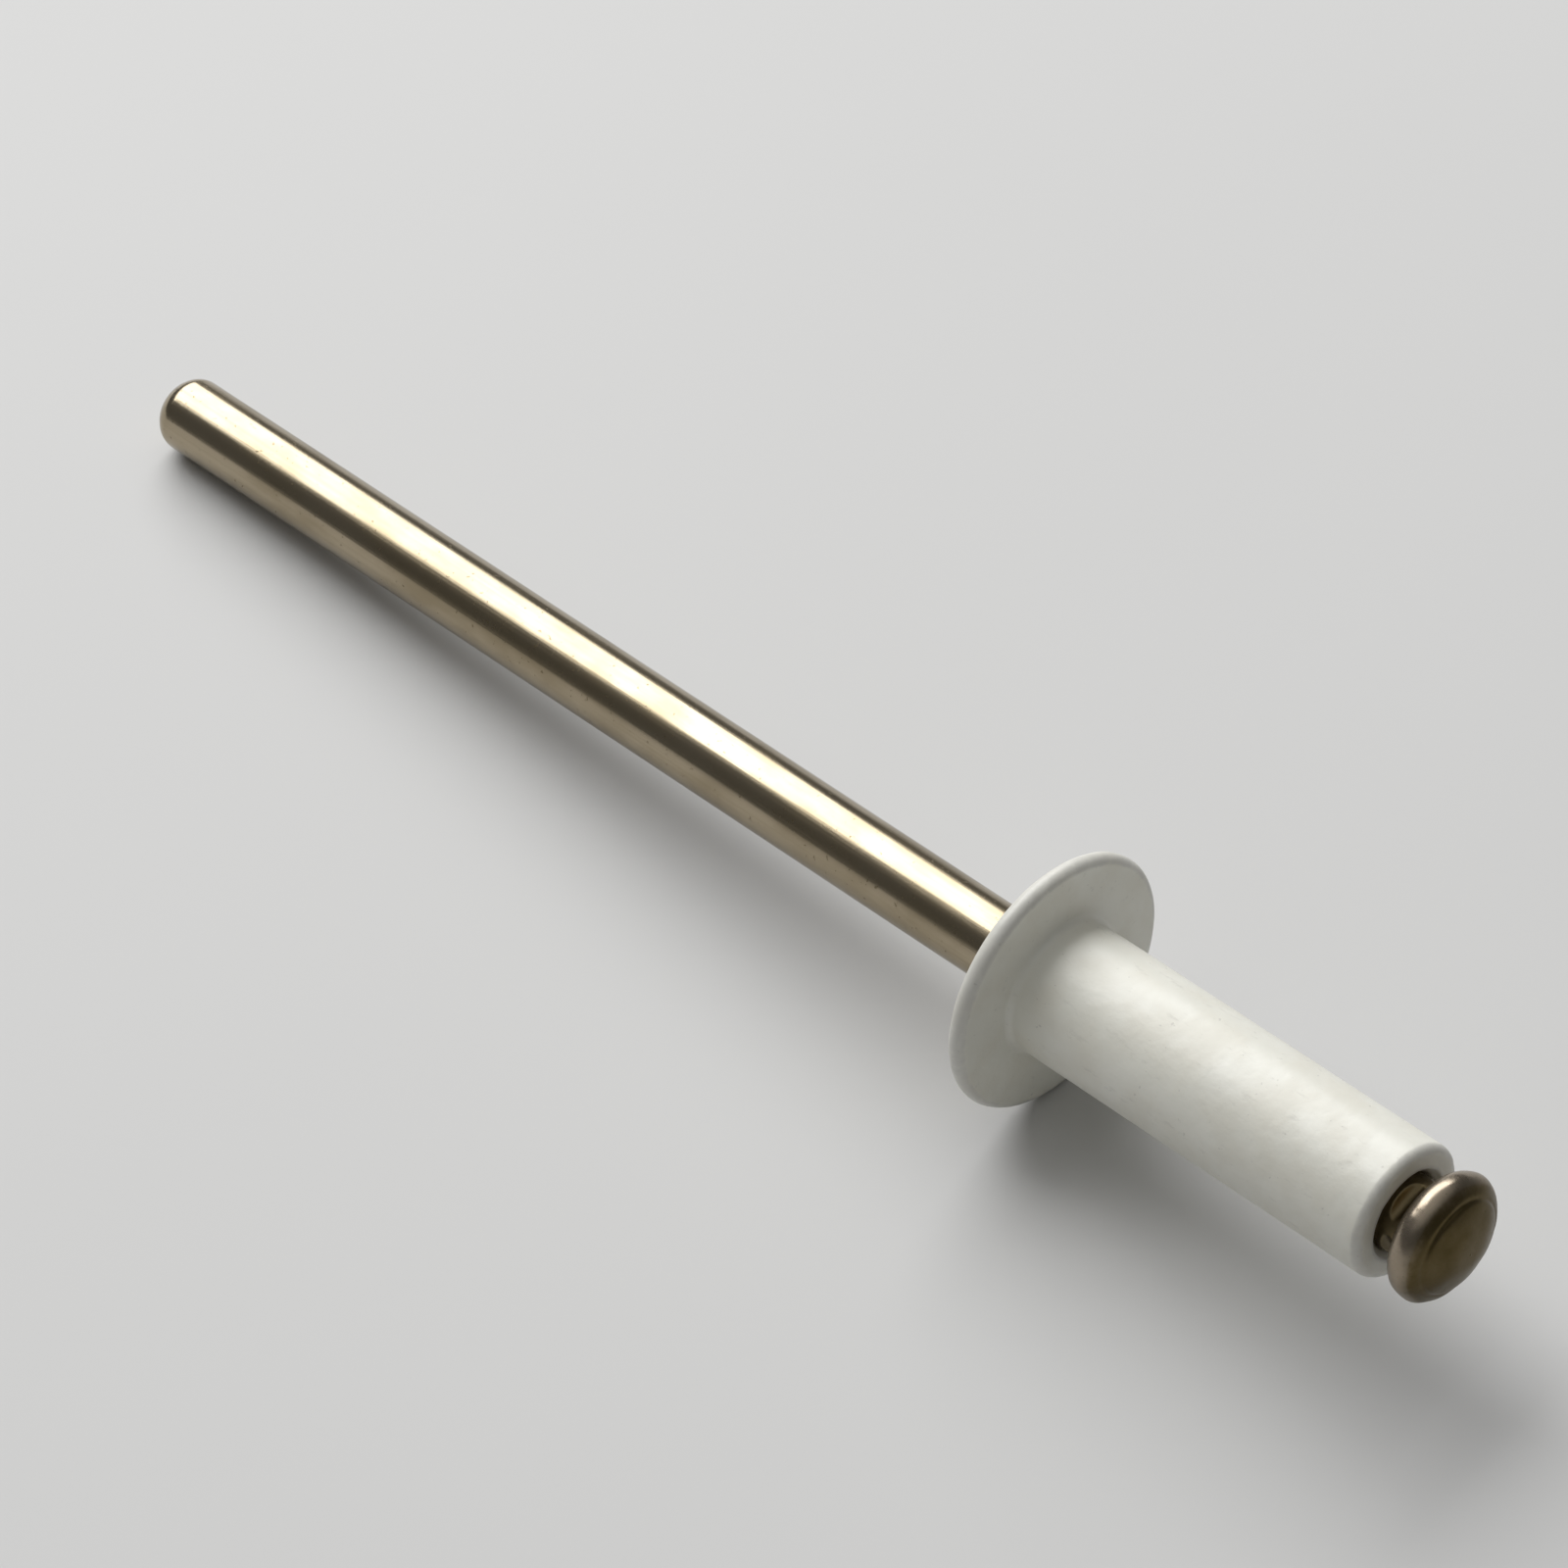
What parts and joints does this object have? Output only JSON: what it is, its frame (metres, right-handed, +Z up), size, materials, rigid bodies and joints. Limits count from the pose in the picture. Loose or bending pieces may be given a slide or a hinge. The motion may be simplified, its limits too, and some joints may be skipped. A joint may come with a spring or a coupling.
{
  "type": "pop rivet",
  "caption": "Open-end blind rivet before setting: white painted sleeve with a domed flange, on a plated steel pulling mandrel with an upset head and a pinched break neck.",
  "frame": {"origin": "on the surface that the rivet lies on, under the middle of its length", "axes": "+Z up; +X along the lying rivet, from the mandrel's tip towards its head, which is raised by 4.5 degrees because the rivet rests on its flange's rim and its tip"},
  "size_m": [0.0402, 0.0062, 0.0062],
  "materials": {
    "white_paint": "satin",
    "plated_steel": "gloss"
  },
  "bodies": {
    "root": {"rivet_body": "white_paint", "mandrel": "plated_steel"}
  },
  "joints": []
}
